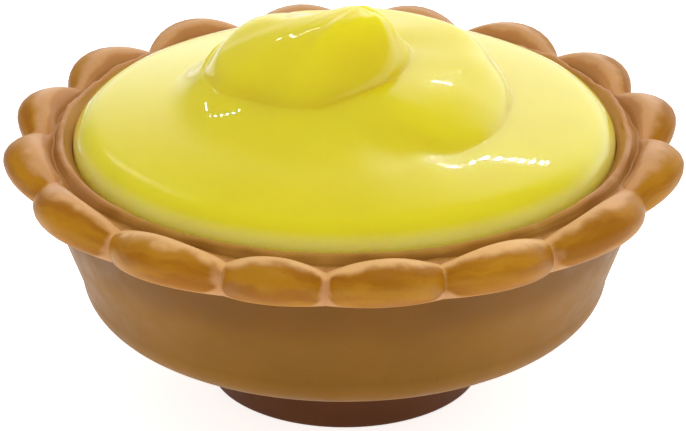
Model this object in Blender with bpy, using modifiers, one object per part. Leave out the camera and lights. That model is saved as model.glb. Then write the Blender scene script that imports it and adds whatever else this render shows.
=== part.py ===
"""Toy nougat cream pie: a cup of crust with a scalloped rim on a round foot, filled by one swirl of cream.

Metres, +Z up. The origin is under the middle of the foot, and the swirl's steep side faces -Y.
"""
import math
import bpy

MM = 0.001
FIT_GAP = 0.3 * MM

# Rim of the crust: sixteen thumb-wide scallops, each highest along its crest and widest below it.
SCALLOP_WIDTHS = (
    21.8, 21.9, 22.3, 21.6, 22.4, 21.9, 22.9, 22.0,
    22.5, 25.1, 23.9, 18.5, 20.8, 21.7, 27.5, 23.2,
)
FIRST_NOTCH = -0.1
SECTORS_PER_SCALLOP = 9
TIP_RADIUS = 50.5 * MM
TIP_HEIGHT = 37.4 * MM
CREST_RADIUS = 46.0 * MM
CREST_HEIGHT = 40.1 * MM
LIP_HEIGHT = 33.3 * MM
NOTCH_LIP_HEIGHT = 32.6 * MM
NOTCH_RADIUS = 46.4 * MM
NOTCH_HEIGHT = 35.3 * MM
NOTCH_CREST_RADIUS = 44.7 * MM
NOTCH_CREST_HEIGHT = 37.4 * MM

# Inside of the rim: a fold at the foot of the scallops, then a low ridge above the cream's edge.
FOLD_RADIUS = 43.2 * MM
FOLD_HEIGHT = 37.4 * MM
NOTCH_FOLD_HEIGHT = 37.7 * MM
INNER_SLOPE = ((0.4, 0.6), (0.75, 0.93))
RIDGE_INSIDE = 41.7 * MM
RIDGE_OUTSIDE = 42.3 * MM
RIDGE_HEIGHT = 39.2 * MM
RIDGE_FOOT_RADIUS = 41.0 * MM

# Cup: a tapered wall, a rounded lower corner and the hollow that the cream fills.
WALL_TOP_RADIUS = 44.7 * MM
WALL_TOP_HEIGHT = 32.7 * MM
WALL_FOOT_RADIUS = 39.4 * MM
WALL_FOOT_HEIGHT = 17.9 * MM
UNDER_LIP = 0.6 * MM
UNDER_LIP_DEPTH = 0.25 * MM
UNDERSIDE_HEIGHT = 12.5 * MM
UNDERSIDE_CORNER = 5.4 * MM
HOLLOW_RADIUS = 40.5 * MM
HOLLOW_EDGE_HEIGHT = 36.7 * MM
HOLLOW_FLOOR_RADIUS = 35.0 * MM
HOLLOW_FLOOR_HEIGHT = 16.0 * MM

# Foot: a plain disc under the cup.
FOOT_RADIUS = 20.5 * MM
FOOT_EDGE = 0.6 * MM
FOOT_SECTORS = 64

# Cream: a dome with a bulging edge, one roll that winds round it and a mound with a tip.
CREAM_RADIUS = 40.2 * MM
CREAM_EDGE_HEIGHT = 37.9 * MM
CREAM_LOWER_CORNER = 3.0 * MM
EDGE_BULGE_RISE = 3.3 * MM
EDGE_BULGE_WIDTH = 4.0 * MM
DOME_RISE = 4.8 * MM
GUTTER_DROP = 0.7 * MM
GUTTER_START = 0.25
GUTTER_POWER = 1.4
MOUND_CENTRE = (-5.5 * MM, 3.5 * MM)
TIP_PLACE = (2.0 * MM, 0.8 * MM)
TIP_TOP = 58.5 * MM
CREAM_SECTORS = 80
EDGE_RINGS = 10
ROLL_RINGS = 11
MOUND_RINGS = 14

# Sizes of the swirl that change round the pie, as (angle in degrees, size); 270 degrees is the front.
ROLL_RADIUS = ((270, 28.0 * MM), (300, 25.3 * MM), (340, 24.6 * MM), (400, 26.0 * MM), (440, 26.5 * MM))
ROLL_STRENGTH = ((180, 0.0), (276, 0.0), (294, 0.35), (314, 0.9), (330, 1.0), (440, 1.0), (500, 0.0))
ROLL_FACE = (
    (270, 16.0 * MM), (300, 13.0 * MM), (320, 11.0 * MM), (345, 9.5 * MM),
    (375, 7.5 * MM), (400, 4.0 * MM), (450, 4.5 * MM), (500, 9.0 * MM),
)
ROLL_ROUNDNESS = ((255, 0.0), (300, 0.0), (330, 0.15), (360, 0.4), (410, 1.0), (500, 1.0))
ROLL_LEAN = ((255, 0.5), (300, 0.4), (320, 0.35), (345, 0.3), (380, 0.15), (500, 0.1))
ROLL_POWER = 2.0
ROLL_FILLET = ((255, 1.0), (290, 1.0), (303, 0.6), (315, 0.2), (328, 0.07), (375, 0.05), (500, 0.1))
TIER_HEIGHT = (
    (180, 46.8 * MM), (205, 46.8 * MM), (235, 47.2 * MM), (270, 47.7 * MM), (320, 49.1 * MM),
    (370, 49.4 * MM), (405, 50.1 * MM), (435, 50.0 * MM), (470, 49.7 * MM), (505, 48.2 * MM),
)
MOUND_REACH = (
    (180, 15.7 * MM), (205, 15.1 * MM), (235, 13.9 * MM), (268, 15.2 * MM), (300, 14.6 * MM),
    (340, 15.1 * MM), (370, 15.8 * MM), (450, 12.5 * MM), (480, 14.0 * MM), (505, 15.6 * MM),
)
MOUND_RISE = (
    (180, 8.5 * MM), (215, 8.7 * MM), (245, 9.2 * MM), (270, 9.8 * MM), (305, 9.6 * MM), (328, 8.6 * MM),
    (345, 6.0 * MM), (357, 2.5 * MM), (370, 0.3 * MM), (400, 0.0),
    (450, 3.2 * MM), (480, 5.0 * MM), (505, 6.4 * MM),
)
MOUND_FACE = (
    (180, 0.78), (215, 0.8), (245, 0.75), (270, 0.68), (310, 0.6),
    (335, 0.5), (357, 0.4), (400, 0.7), (450, 0.8), (480, 0.6), (505, 0.5),
)
MOUND_ROUNDNESS = ((180, 0.5), (215, 0.5), (270, 0.25), (300, 0.05), (450, 0.0))
MOUND_FILLET = (
    (180, 0.1), (205, 0.08), (250, 0.05), (270, 0.04),
    (345, 0.04), (370, 0.1), (450, 0.3), (505, 0.2),
)
MOUND_PEAK = (
    (180, 3.4), (225, 2.8), (270, 2.5), (310, 2.2),
    (335, 1.3), (360, 1.2), (400, 1.9), (450, 3.2), (500, 4.1),
)
MOUND_FOLD = ((338, 0.0), (350, 0.4 * MM), (358, -0.6 * MM), (367, 0.5 * MM), (385, 0.0), (520, 0.0))


def mix(low, high, share):
    """Return the value at a share of the way from low to high."""
    return low + (high - low) * share


def ease(share):
    """Return a smooth step from 0 to 1."""
    share = min(max(share, 0.0), 1.0)
    return share * share * (3.0 - 2.0 * share)


def round_front(share, roundness=1.0, power=2.0):
    """Return the height of a bulging face, which is level from 1 on.

    At a roundness of 1 it is a quarter round that starts upright, and at 0 a softer curve that starts aslant.
    """
    left = 1.0 - min(max(share, 0.0), 1.0)
    return mix(1.0 - left ** power, math.sqrt(1.0 - left ** 2), roundness)


def around(stops, degrees):
    """Return a size that runs smoothly between its stops round the full turn."""
    angle = (degrees - stops[0][0]) % 360.0 + stops[0][0]
    ring = list(stops) + [(stops[0][0] + 360.0, stops[0][1])]
    for (start, low), (end, high) in zip(ring, ring[1:]):
        if angle <= end:
            return mix(low, high, ease((angle - start) / (end - start)))
    return stops[0][1]


def quarter_turn(centre, radius, height, angles):
    """Return the points of an elliptical arc round centre; 0 degrees points outward, 90 up."""
    points = []
    for degrees in angles:
        angle = math.radians(degrees)
        points.append((centre[0] + radius * math.cos(angle), centre[1] + height * math.sin(angle)))
    return points


def paint(name, colour, roughness):
    """Return a Principled material with no metal in it."""
    material = bpy.data.materials.new(name)
    material.use_nodes = True
    shader = material.node_tree.nodes["Principled BSDF"]
    shader.inputs["Base Color"].default_value = (*colour, 1.0)
    shader.inputs["Roughness"].default_value = roughness
    shader.inputs["Metallic"].default_value = 0.0
    return material


def turned(name, outline, steps, collection):
    """Return a solid turned from an outline that runs from the top of the axis to its bottom.

    Each point keeps its number in the outline as the attribute ring.
    """
    mesh = bpy.data.meshes.new(name)
    links = [(index, index + 1) for index in range(len(outline) - 1)]
    mesh.from_pydata([(radius, 0.0, height) for radius, height in outline], links, [])
    ring = mesh.attributes.new("ring", "FLOAT", "POINT")
    ring.data.foreach_set("value", [float(index) for index in range(len(outline))])
    solid = bpy.data.objects.new(name, mesh)
    collection.objects.link(solid)
    screw = solid.modifiers.new("Screw", "SCREW")
    screw.steps = steps
    screw.render_steps = steps
    screw.use_merge_vertices = True
    screw.merge_threshold = 0.01 * MM
    bpy.ops.object.select_all(action="DESELECT")
    solid.select_set(True)
    bpy.context.view_layer.objects.active = solid
    bpy.ops.object.modifier_apply(modifier=screw.name)
    return solid


def reshape(solid, steps, place):
    """Move each point of a turned solid to place(ring, sector); points on the axis keep sector 0."""
    rings = solid.data.attributes["ring"].data
    for vertex in solid.data.vertices:
        turn = math.atan2(vertex.co.y, vertex.co.x) / math.tau * steps
        vertex.co = place(round(rings[vertex.index].value), round(turn) % steps)
    solid.data.attributes.remove(solid.data.attributes["ring"])
    solid.data.shade_smooth()


def crust_outline(swell):
    """Return the crust's outline, cup floor to underside: swell is 1 at a scallop's tip, 0 at a notch."""
    outer = mix(NOTCH_RADIUS, TIP_RADIUS, swell)
    widest = mix(NOTCH_HEIGHT, TIP_HEIGHT, swell)
    crest = mix(NOTCH_CREST_RADIUS, CREST_RADIUS, swell)
    top = mix(NOTCH_CREST_HEIGHT, CREST_HEIGHT, swell)
    fold = mix(NOTCH_FOLD_HEIGHT, FOLD_HEIGHT, swell)
    lip = mix(NOTCH_LIP_HEIGHT, LIP_HEIGHT, swell)
    inside = [
        (0.0, HOLLOW_FLOOR_HEIGHT),
        (HOLLOW_FLOOR_RADIUS, HOLLOW_FLOOR_HEIGHT),
        (HOLLOW_RADIUS, WALL_TOP_HEIGHT),
        (HOLLOW_RADIUS, HOLLOW_EDGE_HEIGHT),
        (RIDGE_FOOT_RADIUS, CREAM_EDGE_HEIGHT),
        (RIDGE_INSIDE, RIDGE_HEIGHT),
        (RIDGE_OUTSIDE, RIDGE_HEIGHT),
        (FOLD_RADIUS, fold),
    ]
    slope = [(mix(FOLD_RADIUS, crest, out), mix(fold, top, up)) for out, up in INNER_SLOPE]
    above = quarter_turn((crest, widest), outer - crest, top - widest, (90, 65, 42, 20, 0))
    below = quarter_turn((crest, widest), outer - crest, widest - lip, (-22, -45, -68))
    wall = [
        (mix(WALL_TOP_RADIUS, crest, 0.25), WALL_TOP_HEIGHT),
        (WALL_TOP_RADIUS - UNDER_LIP_DEPTH, WALL_TOP_HEIGHT - UNDER_LIP),
        (mix(WALL_TOP_RADIUS, WALL_FOOT_RADIUS, 0.5), mix(WALL_TOP_HEIGHT, WALL_FOOT_HEIGHT, 0.5)),
    ]
    corner = (WALL_FOOT_RADIUS - UNDERSIDE_CORNER, WALL_FOOT_HEIGHT)
    underside = quarter_turn(corner, UNDERSIDE_CORNER, UNDERSIDE_CORNER, (0, -25, -50, -75, -90))
    return inside + slope + above + below + wall + underside + [(0.0, UNDERSIDE_HEIGHT)]


def scallop_place(sector):
    """Return the angle of a sector line in radians and how far the scallop swells there."""
    scallop, step = divmod(sector, SECTORS_PER_SCALLOP)
    across = -math.cos(math.pi * step / SECTORS_PER_SCALLOP)
    start = FIRST_NOTCH + sum(SCALLOP_WIDTHS[:scallop])
    angle = start + SCALLOP_WIDTHS[scallop] * 0.5 * (across + 1.0)
    return math.radians(angle), 1.0 - across * across


def make_crust(collection):
    """Turn the cup and swell its rim into scallops."""
    steps = SECTORS_PER_SCALLOP * len(SCALLOP_WIDTHS)
    crust = turned("crust", crust_outline(0.0), steps, collection)
    lines = [scallop_place(sector) for sector in range(steps)]
    outlines = [crust_outline(swell) for _, swell in lines]

    def place(ring, sector):
        angle = lines[sector][0]
        radius, height = outlines[sector][ring]
        return radius * math.cos(angle), radius * math.sin(angle), height

    reshape(crust, steps, place)
    crust.data.materials.append(paint("baked crust", (0.36, 0.20, 0.08), 0.45))


def make_foot(collection):
    """Turn the foot, a disc with a softened lower edge."""
    top = UNDERSIDE_HEIGHT - FIT_GAP
    edge = quarter_turn((FOOT_RADIUS - FOOT_EDGE, FOOT_EDGE), FOOT_EDGE, FOOT_EDGE, (0, -30, -60, -90))
    outline = [(0.0, top), (FOOT_RADIUS, top), *edge, (0.0, 0.0)]
    foot = turned("foot", outline, FOOT_SECTORS, collection)
    foot.data.shade_smooth()
    foot.data.set_sharp_from_angle(angle=math.radians(50.0))
    foot.data.materials.append(paint("dark brown plastic", (0.08, 0.03, 0.012), 0.5))


def dome_height(x, y):
    """Return the height of the plain dome under the swirl."""
    radius = math.hypot(x, y)
    bulge = EDGE_BULGE_RISE * round_front((CREAM_RADIUS - radius) / EDGE_BULGE_WIDTH)
    return CREAM_EDGE_HEIGHT + bulge + DOME_RISE * (1.0 - (radius / CREAM_RADIUS) ** 2)


def on_circle(radius, degrees):
    """Return the point of a circle round the pie's axis."""
    angle = math.radians(degrees)
    return radius * math.cos(angle), radius * math.sin(angle)


def on_mound_foot(degrees):
    """Return the point where the mound rises from the roll."""
    x, y = on_circle(around(MOUND_REACH, degrees), degrees)
    return MOUND_CENTRE[0] + x, MOUND_CENTRE[1] + y


def between(start, end, share):
    """Return the point at a share of the way from one plan point to another."""
    return mix(start[0], end[0], share), mix(start[1], end[1], share)


def edge_tier(degrees, share):
    """Return a point between the cream's edge (0) and the crease under the roll (1)."""
    x, y = between(on_circle(CREAM_RADIUS, degrees), on_circle(around(ROLL_RADIUS, degrees), degrees), share)
    gutter = max(0.0, (share - GUTTER_START) / (1.0 - GUTTER_START)) ** GUTTER_POWER
    return x, y, dome_height(x, y) - GUTTER_DROP * around(ROLL_STRENGTH, degrees) * gutter


def roll_tier(degrees, share):
    """Return a point between the crease under the roll (0) and the mound's foot (1)."""
    start = on_circle(around(ROLL_RADIUS, degrees), degrees)
    end = on_mound_foot(degrees)
    x, y = between(start, end, share)
    strength = around(ROLL_STRENGTH, degrees)
    level = around(TIER_HEIGHT, degrees)
    face = min(around(ROLL_FACE, degrees) / math.dist(start, end), 1.0)
    low = dome_height(*start) - GUTTER_DROP
    climb = round_front(share / face, around(ROLL_ROUNDNESS, degrees), ROLL_POWER)
    climb = mix(climb, share, around(ROLL_LEAN, degrees))
    rolled = mix(low, level, climb * ease(share / around(ROLL_FILLET, degrees)))
    plain = dome_height(x, y) + (level - dome_height(*end)) * share ** 2.5
    return x, y, mix(plain, rolled, strength)


def mound_tier(degrees, share):
    """Return a point between the mound's foot (0) and its tip (1).

    A steep face rises from a small fillet, the top climbs to the tip, and a fold runs down from the tip.
    """
    x, y = between(on_mound_foot(degrees), TIP_PLACE, share)
    level = around(TIER_HEIGHT, degrees)
    rise = around(MOUND_RISE, degrees)
    face = round_front(share / around(MOUND_FACE, degrees), around(MOUND_ROUNDNESS, degrees))
    face = face * ease(share / around(MOUND_FILLET, degrees))
    peak = (TIP_TOP - level - rise) * math.sin(0.5 * math.pi * share ** around(MOUND_PEAK, degrees))
    fold = around(MOUND_FOLD, degrees) * math.sin(math.pi * share)
    return x, y, level + rise * face + peak + fold


def close_to_start(step):
    """Return a share that moves slowly near 0, so that rings lie close together there."""
    return 1.0 - math.cos(0.5 * math.pi * step)


def swirl_point(ring, degrees):
    """Return the cream's surface point on a ring: ring 0 is the tip and the last ring the edge."""
    roll_start = MOUND_RINGS + ROLL_RINGS
    if ring >= roll_start:
        return edge_tier(degrees, close_to_start((roll_start + EDGE_RINGS - ring) / EDGE_RINGS))
    if ring >= MOUND_RINGS:
        return roll_tier(degrees, close_to_start((roll_start - ring) / ROLL_RINGS))
    step = (MOUND_RINGS - ring) / MOUND_RINGS
    return mound_tier(degrees, mix(close_to_start(step), 0.5 - 0.5 * math.cos(math.pi * step), 0.5))


def make_cream(collection):
    """Turn a plain plug of cream, then give its top the dome, the roll and the mound."""
    top_rings = EDGE_RINGS + ROLL_RINGS + MOUND_RINGS
    floor = HOLLOW_FLOOR_HEIGHT + FIT_GAP
    top = [(CREAM_RADIUS * ring / top_rings, CREAM_EDGE_HEIGHT) for ring in range(top_rings + 1)]
    plug = [
        (CREAM_RADIUS, WALL_TOP_HEIGHT + FIT_GAP),
        (HOLLOW_FLOOR_RADIUS - FIT_GAP, floor + CREAM_LOWER_CORNER),
        (HOLLOW_FLOOR_RADIUS - CREAM_LOWER_CORNER, floor),
        (0.0, floor),
    ]
    outline = top + plug
    cream = turned("cream", outline, CREAM_SECTORS, collection)

    def place(ring, sector):
        degrees = 360.0 * sector / CREAM_SECTORS
        if ring <= top_rings:
            return swirl_point(ring, degrees)
        radius, height = outline[ring]
        return *on_circle(radius, degrees), height

    reshape(cream, CREAM_SECTORS, place)
    cream.data.materials.append(paint("yellow cream", (0.68, 0.58, 0.05), 0.12))


def main():
    """Build the pie in an empty scene."""
    for old in list(bpy.data.objects):
        bpy.data.objects.remove(old)
    collection = bpy.data.collections.new("nougat cream pie")
    bpy.context.scene.collection.children.link(collection)
    make_crust(collection)
    make_foot(collection)
    make_cream(collection)


main()
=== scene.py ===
import math

import bpy
from mathutils.kdtree import KDTree
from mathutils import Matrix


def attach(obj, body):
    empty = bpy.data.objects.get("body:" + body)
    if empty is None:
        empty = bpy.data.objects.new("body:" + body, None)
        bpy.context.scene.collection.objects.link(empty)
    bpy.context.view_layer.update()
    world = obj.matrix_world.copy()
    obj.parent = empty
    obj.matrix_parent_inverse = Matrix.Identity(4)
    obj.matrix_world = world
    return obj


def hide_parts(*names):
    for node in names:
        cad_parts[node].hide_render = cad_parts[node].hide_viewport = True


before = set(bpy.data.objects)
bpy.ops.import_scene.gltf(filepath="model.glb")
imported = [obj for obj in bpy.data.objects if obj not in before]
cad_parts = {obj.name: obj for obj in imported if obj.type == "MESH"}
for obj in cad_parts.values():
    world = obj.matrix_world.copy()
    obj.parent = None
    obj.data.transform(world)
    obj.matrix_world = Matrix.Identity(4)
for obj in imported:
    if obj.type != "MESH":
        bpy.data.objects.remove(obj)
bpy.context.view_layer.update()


# Camera. A long lens stands half a metre in front of the pie and looks down on it at 25 degrees, so the sides
# of the cup stay almost parallel. It is turned and rolled by a hair, as a hand-held camera is.
SENSOR_WIDTH = 36.0
LENS_LENGTH = 199.77
CAMERA_PLACE = (0.0, -0.51422, 0.26931)
CAMERA_TURN = (64.598, 0.137, -0.039)
camera_lens = bpy.data.cameras.new("photo camera")
camera_lens.sensor_width = SENSOR_WIDTH
camera_lens.lens = LENS_LENGTH
camera = bpy.data.objects.new("photo camera", camera_lens)
camera.location = CAMERA_PLACE
camera.rotation_euler = [math.radians(degrees) for degrees in CAMERA_TURN]
bpy.context.scene.collection.objects.link(camera)
bpy.context.scene.camera = camera
bpy.context.scene.view_settings.view_transform = "Standard"


# Crust. One moulded plastic cup: a tapered wall with a rounded lower corner, and a rim pressed into sixteen
# thumb-wide scallops, with a hand-cut fold and a low ridge inside them. Each scallop is sprayed orange-brown
# on its outer face, and the bare tan plastic shows at the notches, along the crest and at the lower lip.
MM = 0.001
SCALLOP_WIDTHS = (
    21.8, 21.9, 22.3, 21.6, 22.4, 21.9, 22.9, 22.0,
    22.5, 25.1, 23.9, 18.5, 20.8, 21.7, 27.5, 23.2,
)
FIRST_NOTCH = -0.1
SECTORS_PER_SCALLOP = 18
TIP_RADIUS = 50.5 * MM
TIP_HEIGHT = 37.4 * MM
CREST_RADIUS = 46.0 * MM
CREST_HEIGHT = 40.1 * MM
LIP_HEIGHT = 33.3 * MM
NOTCH_LIP_HEIGHT = 32.6 * MM
NOTCH_RADIUS = 46.4 * MM
NOTCH_HEIGHT = 35.3 * MM
NOTCH_CREST_RADIUS = 44.7 * MM
NOTCH_CREST_HEIGHT = 37.4 * MM
FOLD_RADIUS = 43.2 * MM
FOLD_HEIGHT = 37.4 * MM
NOTCH_FOLD_HEIGHT = 37.7 * MM
FOLD_WANDER = 0.35 * MM
FOLD_INNER_SIDE = (0.2 * MM, 0.35 * MM)
FOLD_OUTER_SIDE = (0.25 * MM, 0.45 * MM)
INNER_SLOPE_POINTS = ((0.4, 0.6), (0.75, 0.93))
RIDGE_INSIDE = 41.7 * MM
RIDGE_OUTSIDE = 42.3 * MM
RIDGE_HEIGHT = 39.2 * MM
RIDGE_INNER_SIDE = (0.25 * MM, 0.3 * MM)
RIDGE_INNER_DROP = 0.05 * MM
RIDGE_OUTER_DROP = 0.1 * MM
RIDGE_OUTER_SIDE = (0.3 * MM, 0.5 * MM)
RIDGE_FOOT_RADIUS = 41.0 * MM
RIDGE_RIPPLE = 0.28 * MM
WALL_TOP_RADIUS = 44.7 * MM
WALL_TOP_HEIGHT = 32.7 * MM
UNDER_LIP_REACH = 0.25
UNDER_LIP_CORNER = (0.05 * MM, 0.15 * MM)
UNDER_LIP_BEND = (0.3 * MM, 0.7 * MM)
WALL_FOOT_RADIUS = 39.4 * MM
WALL_FOOT_HEIGHT = 17.9 * MM
WALL_STATIONS = (0.35, 0.7)
UNDERSIDE_HEIGHT = 12.5 * MM
UNDERSIDE_CORNER = 5.4 * MM
HOLLOW_RADIUS = 40.5 * MM
HOLLOW_EDGE_HEIGHT = 36.7 * MM
HOLLOW_FLOOR_RADIUS = 35.0 * MM
HOLLOW_FLOOR_HEIGHT = 16.0 * MM
CREAM_EDGE_HEIGHT = 37.9 * MM
SEAM_CLOSING = 0.25 * MM
SEAM_DROP = 0.3 * MM
SAME_POINT = 0.01 * MM

# Waves in the fold and the ridge, as (height, waves in a full turn, share of the seed), and a seed for each.
RIM_WAVES = ((0.5, 7, 1.0), (0.3, 17, 2.3), (0.2, 41, 0.0))
FOLD_SEED = 1.0
RIDGE_SEED = 4.0


def mix(low, high, share):
    """Return the value at a share of the way from low to high."""
    return low + (high - low) * share


def quarter_turn(centre, radius, height, angles, zone):
    """Return the points of an elliptical arc, which crosses one zone of the crust from end to end."""
    points = []
    for step, degrees in enumerate(angles):
        angle = math.radians(degrees)
        place = zone + step / (len(angles) - 1)
        points.append((centre[0] + radius * math.cos(angle), centre[1] + height * math.sin(angle), place))
    return points


def crust_outline(swell, wander, ripple):
    """Return (radius, height, zone) points from the cup's floor over the rim to the underside.

    Swell is 1 in the middle of a scallop and 0 at a notch. Wander shifts the fold and ripple the ridge, each
    from -1 to 1. The seam beside the cream is drawn in to a hair line. The zone counts 0 to 1 from the floor
    over the ridge to the fold, to 2 at the crest, to 3 at the widest line, to 4 at the lip, to 5 at the foot
    of the wall and to 6 below.
    """
    outer = mix(NOTCH_RADIUS, TIP_RADIUS, swell)
    widest = mix(NOTCH_HEIGHT, TIP_HEIGHT, swell)
    crest = mix(NOTCH_CREST_RADIUS, CREST_RADIUS, swell)
    top = mix(NOTCH_CREST_HEIGHT, CREST_HEIGHT, swell)
    fold = FOLD_RADIUS + wander * FOLD_WANDER
    fold_height = mix(NOTCH_FOLD_HEIGHT, FOLD_HEIGHT, swell)
    lip = mix(NOTCH_LIP_HEIGHT, LIP_HEIGHT, swell)
    ridge_shift = ripple * RIDGE_RIPPLE
    ridge_top = RIDGE_HEIGHT + ridge_shift
    inside = [
        (0.0, HOLLOW_FLOOR_HEIGHT, 0.0),
        (HOLLOW_FLOOR_RADIUS, HOLLOW_FLOOR_HEIGHT, 0.0),
        (HOLLOW_RADIUS, WALL_TOP_HEIGHT, 0.1),
        (HOLLOW_RADIUS, HOLLOW_EDGE_HEIGHT, 0.3),
        (HOLLOW_RADIUS - SEAM_CLOSING, CREAM_EDGE_HEIGHT - SEAM_DROP, 0.4),
        (RIDGE_FOOT_RADIUS, CREAM_EDGE_HEIGHT, 0.45),
        (RIDGE_INSIDE - RIDGE_INNER_SIDE[0], ridge_top - RIDGE_INNER_SIDE[1], 0.6),
        (RIDGE_INSIDE + ridge_shift, ridge_top - RIDGE_INNER_DROP, 0.67),
        (mix(RIDGE_INSIDE, RIDGE_OUTSIDE, 0.5) + ridge_shift, ridge_top, 0.74),
        (RIDGE_OUTSIDE + ridge_shift, ridge_top - RIDGE_OUTER_DROP, 0.8),
        (RIDGE_OUTSIDE + RIDGE_OUTER_SIDE[0], ridge_top - RIDGE_OUTER_SIDE[1], 0.86),
        (fold - FOLD_INNER_SIDE[0], fold_height + FOLD_INNER_SIDE[1], 0.94),
        (fold, fold_height, 1.0),
        (fold + FOLD_OUTER_SIDE[0], fold_height + FOLD_OUTER_SIDE[1], 1.08),
    ]
    slope = [
        (mix(fold, crest, out), mix(fold_height, top, up), 1.0 + up)
        for out, up in INNER_SLOPE_POINTS
    ]
    above = quarter_turn((crest, widest), outer - crest, top - widest, range(90, -1, -5), 2.0)
    below = quarter_turn((crest, widest), outer - crest, widest - lip, range(0, -81, -5), 3.0)
    wall = [
        (mix(WALL_TOP_RADIUS, crest, UNDER_LIP_REACH), WALL_TOP_HEIGHT, 4.05),
        (WALL_TOP_RADIUS - UNDER_LIP_CORNER[0], WALL_TOP_HEIGHT - UNDER_LIP_CORNER[1], 4.1),
        (WALL_TOP_RADIUS - UNDER_LIP_BEND[0], WALL_TOP_HEIGHT - UNDER_LIP_BEND[1], 4.15),
    ]
    for down in WALL_STATIONS:
        radius = mix(WALL_TOP_RADIUS, WALL_FOOT_RADIUS, down)
        wall.append((radius, mix(WALL_TOP_HEIGHT, WALL_FOOT_HEIGHT, down), 4.0 + down))
    corner = (WALL_FOOT_RADIUS - UNDERSIDE_CORNER, WALL_FOOT_HEIGHT)
    under = quarter_turn(corner, UNDERSIDE_CORNER, UNDERSIDE_CORNER, range(0, -91, -6), 5.0)
    return inside + slope + above + below[1:] + wall + under + [(0.0, UNDERSIDE_HEIGHT, 6.0)]


def spin_outline(name, outline, steps):
    """Extrude one point along the outline, spin it round the upright axis and return the closed piece."""
    bpy.ops.object.select_all(action="DESELECT")
    start_radius, start_height = outline[0][:2]
    bpy.ops.mesh.primitive_plane_add(size=1.0 * MM, location=(start_radius, 0.0, start_height))
    piece = bpy.context.object
    piece.name = name
    piece.data.name = name
    bpy.ops.object.transform_apply(location=True, rotation=True, scale=True)
    bpy.ops.object.mode_set(mode="EDIT")
    bpy.ops.mesh.select_mode(type="VERT")
    bpy.ops.mesh.select_all(action="SELECT")
    bpy.ops.mesh.merge(type="CENTER")
    for start, end in zip(outline, outline[1:]):
        step = (end[0] - start[0], 0.0, end[1] - start[1])
        bpy.ops.mesh.extrude_region_move(TRANSFORM_OT_translate={"value": step})
    bpy.ops.mesh.select_all(action="SELECT")
    bpy.ops.mesh.spin(steps=steps, angle=math.tau, center=(0.0, 0.0, 0.0), axis=(0.0, 0.0, 1.0))
    bpy.ops.mesh.select_all(action="SELECT")
    bpy.ops.mesh.remove_doubles(threshold=SAME_POINT)
    bpy.ops.mesh.normals_make_consistent(inside=False)
    bpy.ops.object.mode_set(mode="OBJECT")
    return piece


def outline_finder(outline):
    """Return a tree that finds the nearest point of the outline."""
    finder = KDTree(len(outline))
    for number, point in enumerate(outline):
        finder.insert((point[0], point[1], 0.0), number)
    finder.balance()
    return finder


def spun_from(vertex, finder, steps):
    """Return the outline point and the sector that a vertex of a spun mesh came from."""
    ring = finder.find((math.hypot(vertex.co.x, vertex.co.y), vertex.co.z, 0.0))[1]
    turn = math.atan2(vertex.co.y, vertex.co.x) / math.tau * steps
    return ring, round(turn) % steps


def wobble(angle, seed):
    """Return an uneven wave round the rim, between -1 and 1, that closes on itself."""
    return sum(height * math.sin(waves * angle + shift * seed) for height, waves, shift in RIM_WAVES)


def scallop_place(sector):
    """Return the angle of a sector line in radians and how far the scallop swells there."""
    scallop, step = divmod(sector, SECTORS_PER_SCALLOP)
    across = -math.cos(math.pi * step / SECTORS_PER_SCALLOP)
    start = FIRST_NOTCH + sum(SCALLOP_WIDTHS[:scallop])
    angle = start + SCALLOP_WIDTHS[scallop] * 0.5 * (across + 1.0)
    return math.radians(angle), 1.0 - across * across


crust_sectors = SECTORS_PER_SCALLOP * len(SCALLOP_WIDTHS)
plain_rim = crust_outline(0.0, 0.0, 0.0)
crust = spin_outline("scalloped_crust", plain_rim, crust_sectors)
crust_finder = outline_finder(plain_rim)
crust_lines = [scallop_place(sector) for sector in range(crust_sectors)]
crust_outlines = []
for angle, swell in crust_lines:
    wander = wobble(angle, FOLD_SEED)
    ripple = wobble(2.0 * angle, RIDGE_SEED)
    crust_outlines.append(crust_outline(swell, wander, ripple))
swells = []
zones = []
for vertex in crust.data.vertices:
    ring, sector = spun_from(vertex, crust_finder, crust_sectors)
    angle, swell = crust_lines[sector]
    radius, height, zone = crust_outlines[sector][ring]
    vertex.co = (radius * math.cos(angle), radius * math.sin(angle), height)
    swells.append(swell)
    zones.append(zone)
crust.data.attributes.new("swell", "FLOAT", "POINT").data.foreach_set("value", swells)
crust.data.attributes.new("zone", "FLOAT", "POINT").data.foreach_set("value", zones)
bpy.ops.object.shade_smooth()


def tint(red, green, blue):
    """Return a colour given in screen values, 0 to 255, as Blender's linear colour."""
    linear = [((value / 255.0 + 0.055) / 1.055) ** 2.4 for value in (red, green, blue)]
    return (*linear, 1.0)


def new_material(name):
    """Return an empty node material with its Principled shader and its node tree."""
    material = bpy.data.materials.new(name)
    material.use_nodes = True
    tree = material.node_tree
    return material, tree.nodes["Principled BSDF"], tree


def noise(tree, coordinates, scale, detail, seed):
    """Return the value of a noise pattern on the given coordinates, shifted by its seed."""
    shift = tree.nodes.new("ShaderNodeVectorMath")
    shift.operation = "ADD"
    shift.inputs[1].default_value = (seed, 0.7 * seed, 0.3 * seed)
    pattern = tree.nodes.new("ShaderNodeTexNoise")
    pattern.inputs["Scale"].default_value = scale
    pattern.inputs["Detail"].default_value = detail
    tree.links.new(coordinates, shift.inputs[0])
    tree.links.new(shift.outputs["Vector"], pattern.inputs["Vector"])
    return pattern.outputs["Fac"]


def ramp(tree, value, low, high, start=0.0, end=1.0):
    """Return a value that runs smoothly from start to end while the given one runs from low to high."""
    span = tree.nodes.new("ShaderNodeMapRange")
    span.interpolation_type = "SMOOTHSTEP"
    span.inputs["From Min"].default_value = low
    span.inputs["From Max"].default_value = high
    span.inputs["To Min"].default_value = start
    span.inputs["To Max"].default_value = end
    tree.links.new(value, span.inputs["Value"])
    return span.outputs["Result"]


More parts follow.
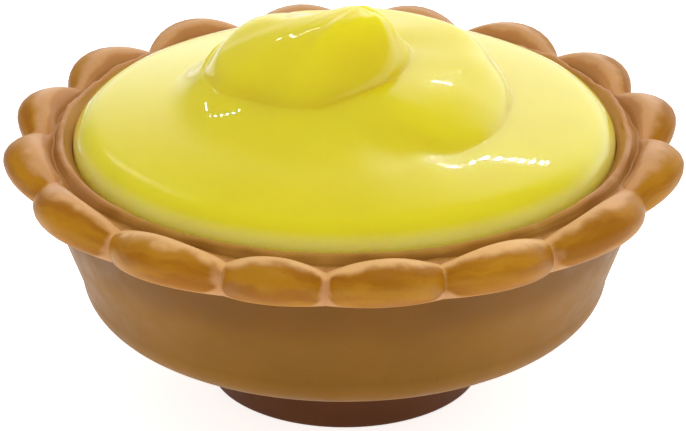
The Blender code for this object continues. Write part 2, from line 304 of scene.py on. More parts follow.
def combine(tree, operation, first, second):
    """Return the result of a maths node on two values, where the second may be a number."""
    maths = tree.nodes.new("ShaderNodeMath")
    maths.operation = operation
    tree.links.new(first, maths.inputs[0])
    if isinstance(second, float):
        maths.inputs[1].default_value = second
    else:
        tree.links.new(second, maths.inputs[1])
    return maths.outputs["Value"]


def overlap(tree, first, *others):
    """Return the mask of what all the given masks cover."""
    shared = first
    for mask in others:
        shared = combine(tree, "MULTIPLY", shared, mask)
    return shared


# A Mix node's colour sockets bear the same names as its number sockets, so they are picked by their place.
BELOW_SOCKET = 6
ABOVE_SOCKET = 7
LAID_SOCKET = 2


def lay_over(tree, below, above, mask):
    """Return one colour laid over another through a mask; either colour may be a fixed one."""
    layer = tree.nodes.new("ShaderNodeMix")
    layer.data_type = "RGBA"
    for colour, socket in ((below, layer.inputs[BELOW_SOCKET]), (above, layer.inputs[ABOVE_SOCKET])):
        if isinstance(colour, tuple):
            socket.default_value = colour
        else:
            tree.links.new(colour, socket)
    tree.links.new(mask, layer.inputs["Factor"])
    return layer.outputs[LAID_SOCKET]


def attribute(tree, name):
    """Return the value of one of the piece's own attributes."""
    reader = tree.nodes.new("ShaderNodeAttribute")
    reader.attribute_name = name
    return reader.outputs["Fac"]


def object_place(tree):
    """Return the coordinates of the piece itself, in metres."""
    return tree.nodes.new("ShaderNodeTexCoord").outputs["Object"]


def part_of(tree, vector, axis):
    """Return the X, Y or Z part of a vector."""
    parts = tree.nodes.new("ShaderNodeSeparateXYZ")
    tree.links.new(vector, parts.inputs["Vector"])
    return parts.outputs[axis]


# Patterns of the moulded finish, as noise (waves in a metre, detail, seed), and the spans of noise they use.
MOTTLING_NOISE = (110.0, 4.0, 3.0)
SPECK_NOISE = (1500.0, 2.0, 8.0)
WEAR_NOISE = (260.0, 3.0, 5.0)
GRAIN_NOISE = (900.0, 3.0, 11.0)
NOISE_SPAN = (0.3, 0.7)
SPECK_SPAN = (0.62, 0.74)
WEAR_RANGE = (0.85, 1.15)
GRAIN_DEPTH = 0.05 * MM


def moulded_finish():
    """Build the finish that all three moulded pieces share: slow mottling, fine specks and a faint grain."""
    group = bpy.data.node_groups.new("moulded plastic", "ShaderNodeTree")
    wanted = (
        ("Colour", "INPUT", "NodeSocketColor"),
        ("Mottling", "INPUT", "NodeSocketFloat"),
        ("Specks", "INPUT", "NodeSocketFloat"),
        ("Shine", "INPUT", "NodeSocketFloat"),
        ("Grain", "INPUT", "NodeSocketFloat"),
        ("Colour", "OUTPUT", "NodeSocketColor"),
        ("Roughness", "OUTPUT", "NodeSocketFloat"),
        ("Normal", "OUTPUT", "NodeSocketVector"),
    )
    for name, side, kind in wanted:
        group.interface.new_socket(name=name, in_out=side, socket_type=kind)
    given = group.nodes.new("NodeGroupInput")
    result = group.nodes.new("NodeGroupOutput")
    place = object_place(group)

    slow = ramp(group, noise(group, place, *MOTTLING_NOISE), *NOISE_SPAN, -1.0, 1.0)
    mottled = overlap(group, slow, given.outputs["Mottling"])
    specks = ramp(group, noise(group, place, *SPECK_NOISE), *SPECK_SPAN)
    speckled = overlap(group, specks, given.outputs["Specks"])
    level = combine(group, "ADD", combine(group, "SUBTRACT", mottled, speckled), 1.0)
    shade = group.nodes.new("ShaderNodeVectorMath")
    shade.operation = "SCALE"
    group.links.new(given.outputs["Colour"], shade.inputs[0])
    group.links.new(level, shade.inputs["Scale"])
    group.links.new(shade.outputs["Vector"], result.inputs["Colour"])

    worn = ramp(group, noise(group, place, *WEAR_NOISE), *NOISE_SPAN, *WEAR_RANGE)
    group.links.new(overlap(group, worn, given.outputs["Shine"]), result.inputs["Roughness"])

    grain = group.nodes.new("ShaderNodeBump")
    grain.inputs["Distance"].default_value = GRAIN_DEPTH
    group.links.new(given.outputs["Grain"], grain.inputs["Strength"])
    group.links.new(noise(group, place, *GRAIN_NOISE), grain.inputs["Height"])
    group.links.new(grain.outputs["Normal"], result.inputs["Normal"])
    return group


moulded = moulded_finish()


def place_finish(tree, shader, colour, mottling, specks, shine, grain):
    """Put the moulded finish between a colour and the shader; colour and shine may be fixed or linked."""
    finish = tree.nodes.new("ShaderNodeGroup")
    finish.node_tree = moulded
    for given, socket in ((colour, finish.inputs["Colour"]), (shine, finish.inputs["Shine"])):
        if isinstance(given, (tuple, float)):
            socket.default_value = given
        else:
            tree.links.new(given, socket)
    finish.inputs["Mottling"].default_value = mottling
    finish.inputs["Specks"].default_value = specks
    finish.inputs["Grain"].default_value = grain
    tree.links.new(finish.outputs["Colour"], shader.inputs["Base Color"])
    tree.links.new(finish.outputs["Roughness"], shader.inputs["Roughness"])
    tree.links.new(finish.outputs["Normal"], shader.inputs["Normal"])


BRUSHED_DETAIL = 3.0


def brushed(tree, place, zone, across, along, seed):
    """Return noise drawn out along the rim: across is its waves to a zone, along its waves to a metre."""
    streak = tree.nodes.new("ShaderNodeCombineXYZ")
    tree.links.new(combine(tree, "MULTIPLY", zone, across), streak.inputs["X"])
    tree.links.new(combine(tree, "MULTIPLY", part_of(tree, place, "X"), along), streak.inputs["Y"])
    tree.links.new(combine(tree, "MULTIPLY", part_of(tree, place, "Y"), along), streak.inputs["Z"])
    return noise(tree, streak.outputs["Vector"], 1.0, BRUSHED_DETAIL, seed)


BARE_RIM = tint(210, 156, 102)
# Painted light: a lighter copy of the bare tan, laid on the front of the rim.
BARE_RIM_PAINTED_LIGHT = tint(234, 182, 116)
INNER_SLOPE = tint(190, 132, 74)
# Partly painted light: the inner wall's own brown, made lighter so that the narrow slot beside the cream does
# not come out black.
INNER_WALL_LIGHTENED = tint(186, 138, 72)
# Painted shade: the brown that the ridge and the fold take at the front, where the crest shades them.
RIDGE_SHADE_BROWN = tint(180, 130, 52)
# Painted shade: the dark of the narrow fold inside the rim.
CREASE_SHADE = tint(156, 106, 38)
OUTER_WALL = tint(148, 100, 18)
# Painted shade: a darker copy of the wall for its front, which the light from behind and above leaves in
# shade, and a darker one still for the shadow under the lip.
OUTER_WALL_FRONT_SHADE = tint(134, 88, 6)
OUTER_WALL_SHADE = tint(108, 66, 0)
SPRAYED_LIGHT = tint(186, 127, 24)
SPRAYED_DARK = tint(164, 102, 14)

# Edges of the spray, as (where it starts, where it is full): top and bottom by zone, sides by swell. Its
# bottom edge lies higher at a notch, by a share of a zone.
SPRAY_TOP = (2.08, 2.42)
SPRAY_BOTTOM = (3.8, 3.55)
SPRAY_SIDE = (0.0, 0.2)
SPRAY_NOTCH = (0.0, 0.5)
SPRAY_BOTTOM_RISE = 0.45

# Edges of the other paints by zone, as (where the paint starts, where it is full). The crease, ridge and
# wall shade edges mark painted shade, and the pale face edge marks painted light.
INSIDE_WALL_EDGE = (0.7, 0.6)
INNER_SLOPE_EDGE = (1.95, 1.7)
CREASE_INNER_EDGE = (0.78, 0.9)
CREASE_OUTER_EDGE = (1.5, 1.15)
RIDGE_SHADE_EDGE = (1.5, 1.2)
PAINTED_LIGHT_EDGE = (2.6, 2.3)
OUTER_WALL_EDGE = (4.0, 4.12)
WALL_SHADE_EDGE = (4.6, 4.15)
WALL_SHADE_STRENGTH = 0.6

# Edges by place along Y of the painted light and painted shade that are only on the front of the crust, or
# stronger there: a lighter bare face, brown shade on the ridge and fold, a darker wall and a darker crease.
PAINTED_LIGHT_FRONT = (-20.0 * MM, -38.0 * MM)
RIDGE_SHADE_FRONT = (-20.0 * MM, -34.0 * MM)
WALL_SHADE_FRONT = (-30.0 * MM, -42.0 * MM)
CREASE_FRONT = (0.0, -34.0 * MM)
CREASE_FAINTEST = 0.55

# Raggedness of the paint's edges, as noise, and the strokes in the spray and in the painted shade of the
# crease, as (waves to a zone, waves to a metre, seed).
RAGGED_NOISE = (190.0, 3.0, 1.0)
RAGGEDNESS = 0.12
SPRAY_STROKES = (1.8, 75.0, 6.0)
SPRAY_STROKE_SPAN = (0.33, 0.66)
CREASE_STROKES = (16.0, 45.0, 9.0)
CREASE_STROKE_SPAN = (0.42, 0.58)
crust_paint, crust_shader, crust_tree = new_material("baked crust")
swell_here = attribute(crust_tree, "swell")
zone_here = attribute(crust_tree, "zone")
crust_place = object_place(crust_tree)
forward = part_of(crust_tree, crust_place, "Y")
ragged_noise = noise(crust_tree, crust_place, *RAGGED_NOISE)
ragged = ramp(crust_tree, ragged_noise, *NOISE_SPAN, -RAGGEDNESS, RAGGEDNESS)
ragged_zone = combine(crust_tree, "ADD", zone_here, ragged)
ragged_swell = combine(crust_tree, "ADD", swell_here, ragged)
lower_rise = ramp(crust_tree, swell_here, *SPRAY_NOTCH, -SPRAY_BOTTOM_RISE, 0.0)
lower_reach = combine(crust_tree, "SUBTRACT", zone_here, lower_rise)
sprayed = overlap(
    crust_tree,
    ramp(crust_tree, ragged_zone, *SPRAY_TOP),
    ramp(crust_tree, lower_reach, *SPRAY_BOTTOM),
    ramp(crust_tree, ragged_swell, *SPRAY_SIDE),
)
spray_strokes = brushed(crust_tree, crust_place, ragged_zone, *SPRAY_STROKES)
spray_tone = ramp(crust_tree, spray_strokes, *SPRAY_STROKE_SPAN)
spray = lay_over(crust_tree, SPRAYED_LIGHT, SPRAYED_DARK, spray_tone)
# The inner wall and the slot beside the cream take their brown, lightened as painted light.
inside_wall = ramp(crust_tree, zone_here, *INSIDE_WALL_EDGE)
inner_slope = ramp(crust_tree, ragged_zone, *INNER_SLOPE_EDGE)
crease_strokes = brushed(crust_tree, crust_place, zone_here, *CREASE_STROKES)
# Painted shade in the fold: darker in streaks, and darkest at the front of the pie.
crease = overlap(
    crust_tree,
    ramp(crust_tree, zone_here, *CREASE_INNER_EDGE),
    ramp(crust_tree, zone_here, *CREASE_OUTER_EDGE),
    ramp(crust_tree, crease_strokes, *CREASE_STROKE_SPAN, CREASE_FAINTEST, 1.0),
    ramp(crust_tree, forward, *CREASE_FRONT, CREASE_FAINTEST, 1.0),
)
# Painted light: the bare face inside the crest is painted lighter towards the front of the pie.
front_painted_light = overlap(
    crust_tree,
    ramp(crust_tree, forward, *PAINTED_LIGHT_FRONT),
    ramp(crust_tree, zone_here, *PAINTED_LIGHT_EDGE),
)
# Painted shade: inside the crest, the ridge and the fold are painted brown towards the front of the pie.
ridge_front_shade = overlap(
    crust_tree,
    ramp(crust_tree, zone_here, *RIDGE_SHADE_EDGE),
    ramp(crust_tree, forward, *RIDGE_SHADE_FRONT),
)
# Painted shade: the wall is painted darker at the front of the pie and just under the lip.
wall_front_shade = ramp(crust_tree, forward, *WALL_SHADE_FRONT)
wall_shade = ramp(crust_tree, zone_here, *WALL_SHADE_EDGE, 0.0, WALL_SHADE_STRENGTH)
outside_wall = ramp(crust_tree, zone_here, *OUTER_WALL_EDGE)
wall_colour_and_shade = lay_over(crust_tree, OUTER_WALL, OUTER_WALL_FRONT_SHADE, wall_front_shade)
wall_colour_and_shade = lay_over(crust_tree, wall_colour_and_shade, OUTER_WALL_SHADE, wall_shade)
crust_colour = lay_over(crust_tree, BARE_RIM, BARE_RIM_PAINTED_LIGHT, front_painted_light)
crust_colour = lay_over(crust_tree, crust_colour, INNER_SLOPE, inner_slope)
crust_colour = lay_over(crust_tree, crust_colour, INNER_WALL_LIGHTENED, inside_wall)
crust_colour = lay_over(crust_tree, crust_colour, RIDGE_SHADE_BROWN, ridge_front_shade)
crust_colour = lay_over(crust_tree, crust_colour, CREASE_SHADE, crease)
crust_colour = lay_over(crust_tree, crust_colour, wall_colour_and_shade, outside_wall)
crust_colour = lay_over(crust_tree, crust_colour, spray, sprayed)
place_finish(crust_tree, crust_shader, crust_colour, mottling=0.05, specks=0.08, shine=0.42, grain=0.25)
crust_shader.inputs["Specular IOR Level"].default_value = 0.16
crust.data.materials.clear()
crust.data.materials.append(crust_paint)
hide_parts("crust")
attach(crust, "root")


# Foot. A plain round base of dark brown plastic, moulded on its own and pressed under the cup. Its side is
# straight, and its lower edge is softened.
FOOT_RADIUS = 20.5 * MM
FOOT_TOP = 12.2 * MM
FOOT_SIDES = 128
FOOT_EDGE = 0.6 * MM
FOOT_EDGE_STEPS = 4
FOOT_SHARP_ANGLE = 50.0
FACING_DOWN = -0.9
FOOT_BROWN = tint(102, 56, 20)
bpy.ops.object.select_all(action="DESELECT")
foot_middle = (0.0, 0.0, FOOT_TOP / 2)
bpy.ops.mesh.primitive_cylinder_add(
    vertices=FOOT_SIDES, radius=FOOT_RADIUS, depth=FOOT_TOP, location=foot_middle
)
foot = bpy.context.object
foot.name = "round_foot"
foot.data.name = "round_foot"
bpy.ops.object.transform_apply(location=True, rotation=True, scale=True)
bpy.ops.object.mode_set(mode="EDIT")
bpy.ops.mesh.select_mode(type="FACE")
bpy.ops.mesh.select_all(action="DESELECT")
bpy.ops.object.mode_set(mode="OBJECT")
for face in foot.data.polygons:
    face.select = face.normal.z < FACING_DOWN
bpy.ops.object.mode_set(mode="EDIT")
bpy.ops.mesh.bevel(offset=FOOT_EDGE, segments=FOOT_EDGE_STEPS, affect="EDGES")
bpy.ops.object.mode_set(mode="OBJECT")
bpy.ops.object.shade_smooth_by_angle(angle=math.radians(FOOT_SHARP_ANGLE))
foot_paint, foot_shader, foot_tree = new_material("dark brown plastic")
place_finish(foot_tree, foot_shader, FOOT_BROWN, mottling=0.1, specks=0.05, shine=0.45, grain=0.3)
foot_shader.inputs["Specular IOR Level"].default_value = 0.2
foot.data.materials.clear()
foot.data.materials.append(foot_paint)
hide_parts("foot")
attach(foot, "root")


# Cream. One glossy yellow casting, set into the cup: a low dome with a bulging edge, a roll that winds up
# round it and a mound drawn out to a tip, with the fold that the tip leaves as it is turned over.
CREAM_RADIUS = 40.2 * MM
CREAM_LOWER_CORNER = 3.0 * MM
FIT_GAP = 0.3 * MM
EDGE_BULGE_RISE = 3.3 * MM
EDGE_BULGE_WIDTH = 4.0 * MM
DOME_RISE = 4.8 * MM
GUTTER_DROP = 0.7 * MM
GUTTER_START = 0.25
GUTTER_POWER = 1.4
MOUND_CENTRE = (-5.5 * MM, 3.5 * MM)
TIP_PLACE = (2.0 * MM, 0.8 * MM)
TIP_TOP = 58.5 * MM
CREAM_SECTORS = 96
EDGE_RINGS = 12
ROLL_RINGS = 16
MOUND_RINGS = 20
SUBDIVISIONS = 2

# Sizes of the swirl that change round the pie, as (angle in degrees, size); 270 degrees is the front.
ROLL_RADIUS = ((270, 28.0 * MM), (300, 25.3 * MM), (340, 24.6 * MM), (400, 26.0 * MM), (440, 26.5 * MM))
ROLL_STRENGTH = ((180, 0.0), (276, 0.0), (294, 0.35), (314, 0.9), (330, 1.0), (440, 1.0), (500, 0.0))
ROLL_FACE = (
    (270, 16.0 * MM), (300, 13.0 * MM), (320, 11.0 * MM), (345, 9.5 * MM),
    (375, 7.5 * MM), (400, 4.0 * MM), (450, 4.5 * MM), (500, 9.0 * MM),
)
ROLL_ROUNDNESS = ((255, 0.0), (300, 0.0), (330, 0.15), (360, 0.4), (410, 1.0), (500, 1.0))
ROLL_LEAN = ((255, 0.5), (300, 0.4), (320, 0.35), (345, 0.3), (380, 0.15), (500, 0.1))
ROLL_POWER = 2.0
PLAIN_POWER = 2.5
ROLL_FILLET = ((255, 1.0), (290, 1.0), (303, 0.6), (315, 0.2), (328, 0.07), (375, 0.05), (500, 0.1))
TIER_HEIGHT = (
    (180, 46.8 * MM), (205, 46.8 * MM), (235, 47.2 * MM), (270, 47.7 * MM), (320, 49.1 * MM),
    (370, 49.4 * MM), (405, 50.1 * MM), (435, 50.0 * MM), (470, 49.7 * MM), (505, 48.2 * MM),
)
MOUND_REACH = (
    (180, 15.7 * MM), (205, 15.1 * MM), (235, 13.9 * MM), (268, 15.2 * MM), (300, 14.6 * MM),
    (340, 15.1 * MM), (370, 15.8 * MM), (450, 12.5 * MM), (480, 14.0 * MM), (505, 15.6 * MM),
)
MOUND_RISE = (
    (180, 8.5 * MM), (215, 8.7 * MM), (245, 9.2 * MM), (270, 9.8 * MM), (305, 9.6 * MM), (328, 8.6 * MM),
    (345, 6.0 * MM), (357, 2.5 * MM), (370, 0.3 * MM), (400, 0.0),
    (450, 3.2 * MM), (480, 5.0 * MM), (505, 6.4 * MM),
)
MOUND_FACE = (
    (180, 0.78), (215, 0.8), (245, 0.75), (270, 0.68), (310, 0.6),
    (335, 0.5), (357, 0.4), (400, 0.7), (450, 0.8), (480, 0.6), (505, 0.5),
)
MOUND_ROUNDNESS = ((180, 0.5), (215, 0.5), (270, 0.25), (300, 0.05), (450, 0.0))
MOUND_FILLET = (
    (180, 0.1), (205, 0.08), (250, 0.05), (270, 0.04),
    (345, 0.04), (370, 0.1), (450, 0.3), (505, 0.2),
)
MOUND_PEAK = (
    (180, 3.4), (225, 2.8), (270, 2.5), (310, 2.2),
    (335, 1.3), (360, 1.2), (400, 1.9), (450, 3.2), (500, 4.1),
)
MOUND_FOLD = ((338, 0.0), (350, 0.4 * MM), (358, -0.6 * MM), (367, 0.5 * MM), (385, 0.0), (520, 0.0))


def ease(share):
    """Return a smooth step from 0 to 1."""
    share = min(max(share, 0.0), 1.0)
    return share * share * (3.0 - 2.0 * share)


def round_front(share, roundness=1.0, power=2.0):
    """Return the height of a bulging face, which is level from 1 on.

    At a roundness of 1 it is a quarter round that starts upright, and at 0 a softer curve that starts aslant.
    """
    left = 1.0 - min(max(share, 0.0), 1.0)
    return mix(1.0 - left ** power, math.sqrt(1.0 - left ** 2), roundness)


def around(stops, degrees):
    """Return a size that runs smoothly between its stops round the full turn."""
    angle = (degrees - stops[0][0]) % 360.0 + stops[0][0]
    ring = list(stops) + [(stops[0][0] + 360.0, stops[0][1])]
    for (start, low), (end, high) in zip(ring, ring[1:]):
        if angle <= end:
            return mix(low, high, ease((angle - start) / (end - start)))
    return stops[0][1]


def dome_height(x, y):
    """Return the height of the plain dome under the swirl."""
    radius = math.hypot(x, y)
    bulge = EDGE_BULGE_RISE * round_front((CREAM_RADIUS - radius) / EDGE_BULGE_WIDTH)
    return CREAM_EDGE_HEIGHT + bulge + DOME_RISE * (1.0 - (radius / CREAM_RADIUS) ** 2)


def on_circle(radius, degrees):
    """Return the point of a circle round the pie's axis."""
    angle = math.radians(degrees)
    return radius * math.cos(angle), radius * math.sin(angle)


def on_mound_foot(degrees):
    """Return the point where the mound rises from the roll."""
    x, y = on_circle(around(MOUND_REACH, degrees), degrees)
    return MOUND_CENTRE[0] + x, MOUND_CENTRE[1] + y


def between(start, end, share):
    """Return the point at a share of the way from one plan point to another."""
    return mix(start[0], end[0], share), mix(start[1], end[1], share)


def edge_tier(degrees, share):
    """Return a point between the cream's edge (0) and the crease under the roll (1)."""
    x, y = between(on_circle(CREAM_RADIUS, degrees), on_circle(around(ROLL_RADIUS, degrees), degrees), share)
    gutter = max(0.0, (share - GUTTER_START) / (1.0 - GUTTER_START)) ** GUTTER_POWER
    return x, y, dome_height(x, y) - GUTTER_DROP * around(ROLL_STRENGTH, degrees) * gutter


def roll_tier(degrees, share):
    """Return a point between the crease under the roll (0) and the mound's foot (1)."""
    start = on_circle(around(ROLL_RADIUS, degrees), degrees)
    end = on_mound_foot(degrees)
    x, y = between(start, end, share)
    strength = around(ROLL_STRENGTH, degrees)
    level = around(TIER_HEIGHT, degrees)
    face = min(around(ROLL_FACE, degrees) / math.dist(start, end), 1.0)
    low = dome_height(*start) - GUTTER_DROP
    climb = round_front(share / face, around(ROLL_ROUNDNESS, degrees), ROLL_POWER)
    climb = mix(climb, share, around(ROLL_LEAN, degrees))
    rolled = mix(low, level, climb * ease(share / around(ROLL_FILLET, degrees)))
    plain = dome_height(x, y) + (level - dome_height(*end)) * share ** PLAIN_POWER
    return x, y, mix(plain, rolled, strength)


def mound_tier(degrees, share):
    """Return a point between the mound's foot (0) and its tip (1).

    A steep face rises from a small fillet, the top climbs to the tip, and a fold runs down from the tip.
    """
    x, y = between(on_mound_foot(degrees), TIP_PLACE, share)
    level = around(TIER_HEIGHT, degrees)
    rise = around(MOUND_RISE, degrees)
    face = round_front(share / around(MOUND_FACE, degrees), around(MOUND_ROUNDNESS, degrees))
    face = face * ease(share / around(MOUND_FILLET, degrees))
    peak = (TIP_TOP - level - rise) * math.sin(0.5 * math.pi * share ** around(MOUND_PEAK, degrees))
    fold = around(MOUND_FOLD, degrees) * math.sin(math.pi * share)
    return x, y, level + rise * face + peak + fold


def close_to_start(step):
    """Return a share that moves slowly near 0, so that rings lie close together there."""
    return 1.0 - math.cos(0.5 * math.pi * step)


def swirl_point(ring, degrees):
    """Return the cream's surface point on a ring: ring 0 is the tip and the last ring the edge."""
    roll_start = MOUND_RINGS + ROLL_RINGS
    if ring >= roll_start:
        return edge_tier(degrees, close_to_start((roll_start + EDGE_RINGS - ring) / EDGE_RINGS))
    if ring >= MOUND_RINGS:
        return roll_tier(degrees, close_to_start((roll_start - ring) / ROLL_RINGS))
    step = (MOUND_RINGS - ring) / MOUND_RINGS
    return mound_tier(degrees, mix(close_to_start(step), 0.5 - 0.5 * math.cos(math.pi * step), 0.5))


swirl_rings = EDGE_RINGS + ROLL_RINGS + MOUND_RINGS
cream_floor = HOLLOW_FLOOR_HEIGHT + FIT_GAP
cream_top = [(CREAM_RADIUS * ring / swirl_rings, CREAM_EDGE_HEIGHT) for ring in range(swirl_rings + 1)]
cream_plug = [
    (CREAM_RADIUS, WALL_TOP_HEIGHT + FIT_GAP),
    (HOLLOW_FLOOR_RADIUS - FIT_GAP, cream_floor + CREAM_LOWER_CORNER),
    (HOLLOW_FLOOR_RADIUS - CREAM_LOWER_CORNER, cream_floor),
    (0.0, cream_floor),
]
cream_outline = cream_top + cream_plug
cream = spin_outline("cream_swirl", cream_outline, CREAM_SECTORS)
cream_finder = outline_finder(cream_outline)
for vertex in cream.data.vertices:
    ring, sector = spun_from(vertex, cream_finder, CREAM_SECTORS)
    if ring <= swirl_rings:
        vertex.co = swirl_point(ring, 360.0 * sector / CREAM_SECTORS)
bpy.ops.object.modifier_add(type="SUBSURF")
cream.modifiers[-1].levels = SUBDIVISIONS
cream.modifiers[-1].render_levels = SUBDIVISIONS
bpy.ops.object.modifier_apply(modifier=cream.modifiers[-1].name)
bpy.ops.object.shade_smooth()

# The cream is painted paler at its edge: painted light, standing in for light in the band that the ridge
# beside it leaves in shade. Its left shoulder is made less polished than the rest, only to dim a row of lamps
# that it would mirror there. The shoulder is given by its turn round the pie and its half-breadth in degrees,
# and by the radius where it starts. A fullness over one widens the part that is dulled in full.
EDGE_LIGHT_WIDTH = 1.9 * MM
DULL_SHOULDER_TURN = 217.0
DULL_SHOULDER_SPREAD = 40.0
DULL_SHOULDER_FULLNESS = 1.3
DULL_SHOULDER_START = 30.0 * MM
DULL_SHOULDER_FADE = 7.0 * MM
edge_nearness = []
dullness = []
for vertex in cream.data.vertices:
    radius = math.hypot(vertex.co.x, vertex.co.y)
    edge_nearness.append(1.0 - min(max((CREAM_RADIUS - radius) / EDGE_LIGHT_WIDTH, 0.0), 1.0))
    turn = math.degrees(math.atan2(vertex.co.y, vertex.co.x)) % 360.0
    aside = abs(turn - DULL_SHOULDER_TURN) / DULL_SHOULDER_SPREAD
    along_shoulder = ease(DULL_SHOULDER_FULLNESS * (1.0 - aside))
    dullness.append(along_shoulder * ease((radius - DULL_SHOULDER_START) / DULL_SHOULDER_FADE))
cream.data.attributes.new("edge", "FLOAT", "POINT").data.foreach_set("value", edge_nearness)
cream.data.attributes.new("dull", "FLOAT", "POINT").data.foreach_set("value", dullness)

CREAM_YELLOW = tint(232, 216, 14)
CREAM_PALE = tint(234, 222, 50)
# Painted light: the pale yellow laid along the cream's edge.
CREAM_EDGE_LIGHT = tint(255, 234, 120)
CREAM_NOISE = (45.0, 2.0, 2.0)
CREAM_NOISE_SPAN = (0.35, 0.7)
CREAM_PALE_STRENGTH = 0.3
CREAM_EDGE_LIGHT_SPAN = (0.1, 1.0)
CREAM_EDGE_LIGHT_STRENGTH = 0.9
POLISHED = 0.035
LESS_POLISHED = 0.19
SCATTER_COLOUR = (1.0, 0.85, 0.15)
SCATTER_DEPTH = 10.0 * MM
cream_paint, cream_shader, cream_tree = new_material("yellow cream")
cream_noise = noise(cream_tree, object_place(cream_tree), *CREAM_NOISE)
cream_tone = ramp(cream_tree, cream_noise, *CREAM_NOISE_SPAN)
cream_tone = combine(cream_tree, "MULTIPLY", cream_tone, CREAM_PALE_STRENGTH)
# Painted light: the cream's edge is painted paler, fading out over a narrow band inward.
cream_edge_light = ramp(cream_tree, attribute(cream_tree, "edge"), *CREAM_EDGE_LIGHT_SPAN, 0.0, CREAM_EDGE_LIGHT_STRENGTH)
cream_colour = lay_over(cream_tree, CREAM_YELLOW, CREAM_PALE, cream_tone)
cream_colour = lay_over(cream_tree, cream_colour, CREAM_EDGE_LIGHT, cream_edge_light)
cream_shine = ramp(cream_tree, attribute(cream_tree, "dull"), 0.0, 1.0, POLISHED, LESS_POLISHED)
place_finish(
    cream_tree, cream_shader, cream_colour, mottling=0.015, specks=0.0, shine=cream_shine, grain=0.005
)
cream_shader.inputs["Subsurface Weight"].default_value = 1.0
cream_shader.inputs["Subsurface Radius"].default_value = SCATTER_COLOUR
cream_shader.inputs["Subsurface Scale"].default_value = SCATTER_DEPTH
cream.data.materials.clear()
cream.data.materials.append(cream_paint)
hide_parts("cream")
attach(cream, "root")


# Floor. The pie stands on a plain sweep of white paper, large enough to fill the picture from every side. The
# sweep glows, so that it comes out quite white, and the camera sees more of its glow than the pie gets.
FLOOR_SIZE = 8.0
FLOOR_WHITE = tint(246, 246, 246)
FLOOR_GREY = tint(242, 242, 243)
FLOOR_NOISE = (3.0, 2.0, 4.0)
FLOOR_GREY_STRENGTH = 0.3
GLOW_ON_PIE = 0.5
GLOW_SEEN = 0.8
bpy.ops.object.select_all(action="DESELECT")
bpy.ops.mesh.primitive_plane_add(size=FLOOR_SIZE, location=(0.0, 0.0, 0.0))
floor = bpy.context.object
floor.name = "white_floor"
floor_paint, floor_shader, floor_tree = new_material("white sweep")
floor_noise = noise(floor_tree, object_place(floor_tree), *FLOOR_NOISE)
floor_tone = ramp(floor_tree, floor_noise, *NOISE_SPAN, 0.0, FLOOR_GREY_STRENGTH)
floor_colour = lay_over(floor_tree, FLOOR_WHITE, FLOOR_GREY, floor_tone)
floor_tree.links.new(floor_colour, floor_shader.inputs["Base Color"])
floor_shader.inputs["Roughness"].default_value = 0.8
floor_shader.inputs["Specular IOR Level"].default_value = 0.0
floor_shader.inputs["Emission Color"].default_value = (1.0, 1.0, 1.0, 1.0)
seen_directly = floor_tree.nodes.new("ShaderNodeLightPath").outputs["Is Camera Ray"]
floor_glow = ramp(floor_tree, seen_directly, 0.0, 1.0, GLOW_ON_PIE, GLOW_SEEN)
floor_tree.links.new(floor_glow, floor_shader.inputs["Emission Strength"])
floor.data.materials.append(floor_paint)


# Light. One soft lamp above, a pale room that is brightest behind the pie, and three short rows of small
# lamps above and behind it, which the glossy cream mirrors as strings of dots.
KEY_SIZE = 0.6
KEY_WATTS = 4.9
KEY_PLACE = (0.05, -0.15, 1.0)
LAMP_DISTANCE = 1.3
LAMP_CENTRE_HEIGHT = 45.0 * MM

# Each row of lamps: its ends as (angle over the pie from the front, angle to the right) in degrees, the
# number of lamps in it, how wide each lamp is and its power in watts.
LAMP_ROWS = (
    ((139.0, -20.6), (127.5, -19.4), 6, 0.016, 0.03),
    ((148.4, 6.9), (145.8, 12.6), 7, 0.006, 0.03),
    ((143.0, -26.5), (140.8, -23.5), 3, 0.026, 0.05),
)


def lamp_place(over, side):
    """Return the place of a lamp: its angle over the pie from the front, and its angle to the right."""
    over = math.radians(over)
    side = math.radians(side)
    flat = math.cos(side) * LAMP_DISTANCE
    return math.sin(side) * LAMP_DISTANCE, -flat * math.cos(over), flat * math.sin(over) + LAMP_CENTRE_HEIGHT


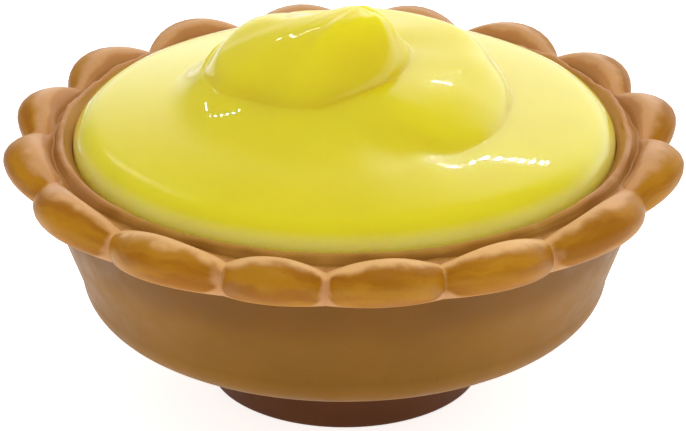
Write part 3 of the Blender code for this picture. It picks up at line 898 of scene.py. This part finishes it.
def hang_lamp(light, place):
    """Put a lamp in the scene at its place, turned to the pie, and return it."""
    lamp = bpy.data.objects.new(light.name, light)
    lamp.location = place
    lamp.rotation_euler = (-lamp.location).to_track_quat("-Z", "Y").to_euler()
    bpy.context.scene.collection.objects.link(lamp)
    return lamp


key_light = bpy.data.lights.new("soft key", "AREA")
key_light.size = KEY_SIZE
key_light.energy = KEY_WATTS
key = hang_lamp(key_light, KEY_PLACE)
key.visible_glossy = False
for row, (row_start, row_end, lamps_in_row, lamp_size, lamp_watts) in enumerate(LAMP_ROWS):
    for number in range(lamps_in_row):
        lamp_light = bpy.data.lights.new(f"lamp {row} {number}", "AREA")
        lamp_light.shape = "DISK"
        lamp_light.size = lamp_size
        lamp_light.energy = lamp_watts
        hang_lamp(lamp_light, lamp_place(*between(row_start, row_end, number / (lamps_in_row - 1))))

# The room glows evenly, and its bright side behind the pie adds to that, with soft edges all round.
ROOM_GLOW = 0.4
BRIGHT_SIDE_GLOW = 1.5
BRIGHT_SIDE = (0.35, 0.94, 0.0)
BRIGHT_SIDE_EDGE = (0.6, 0.92)
HORIZON_EDGE = (-0.1, 0.12)
room = bpy.data.worlds.new("studio room")
room.use_nodes = True
room_tree = room.node_tree
direction = room_tree.nodes.new("ShaderNodeTexCoord").outputs["Generated"]
backward = room_tree.nodes.new("ShaderNodeVectorMath")
backward.operation = "DOT_PRODUCT"
backward.inputs[1].default_value = BRIGHT_SIDE
room_tree.links.new(direction, backward.inputs[0])
behind = ramp(room_tree, backward.outputs["Value"], *BRIGHT_SIDE_EDGE)
above_horizon = ramp(room_tree, part_of(room_tree, direction, "Z"), *HORIZON_EDGE)
brightness = combine(room_tree, "MULTIPLY", overlap(room_tree, behind, above_horizon), BRIGHT_SIDE_GLOW)
brightness = combine(room_tree, "ADD", brightness, ROOM_GLOW)
room_tree.links.new(brightness, room_tree.nodes["Background"].inputs["Strength"])
room_tree.nodes["Background"].inputs["Color"].default_value = (1.0, 1.0, 1.0, 1.0)
bpy.context.scene.world = room
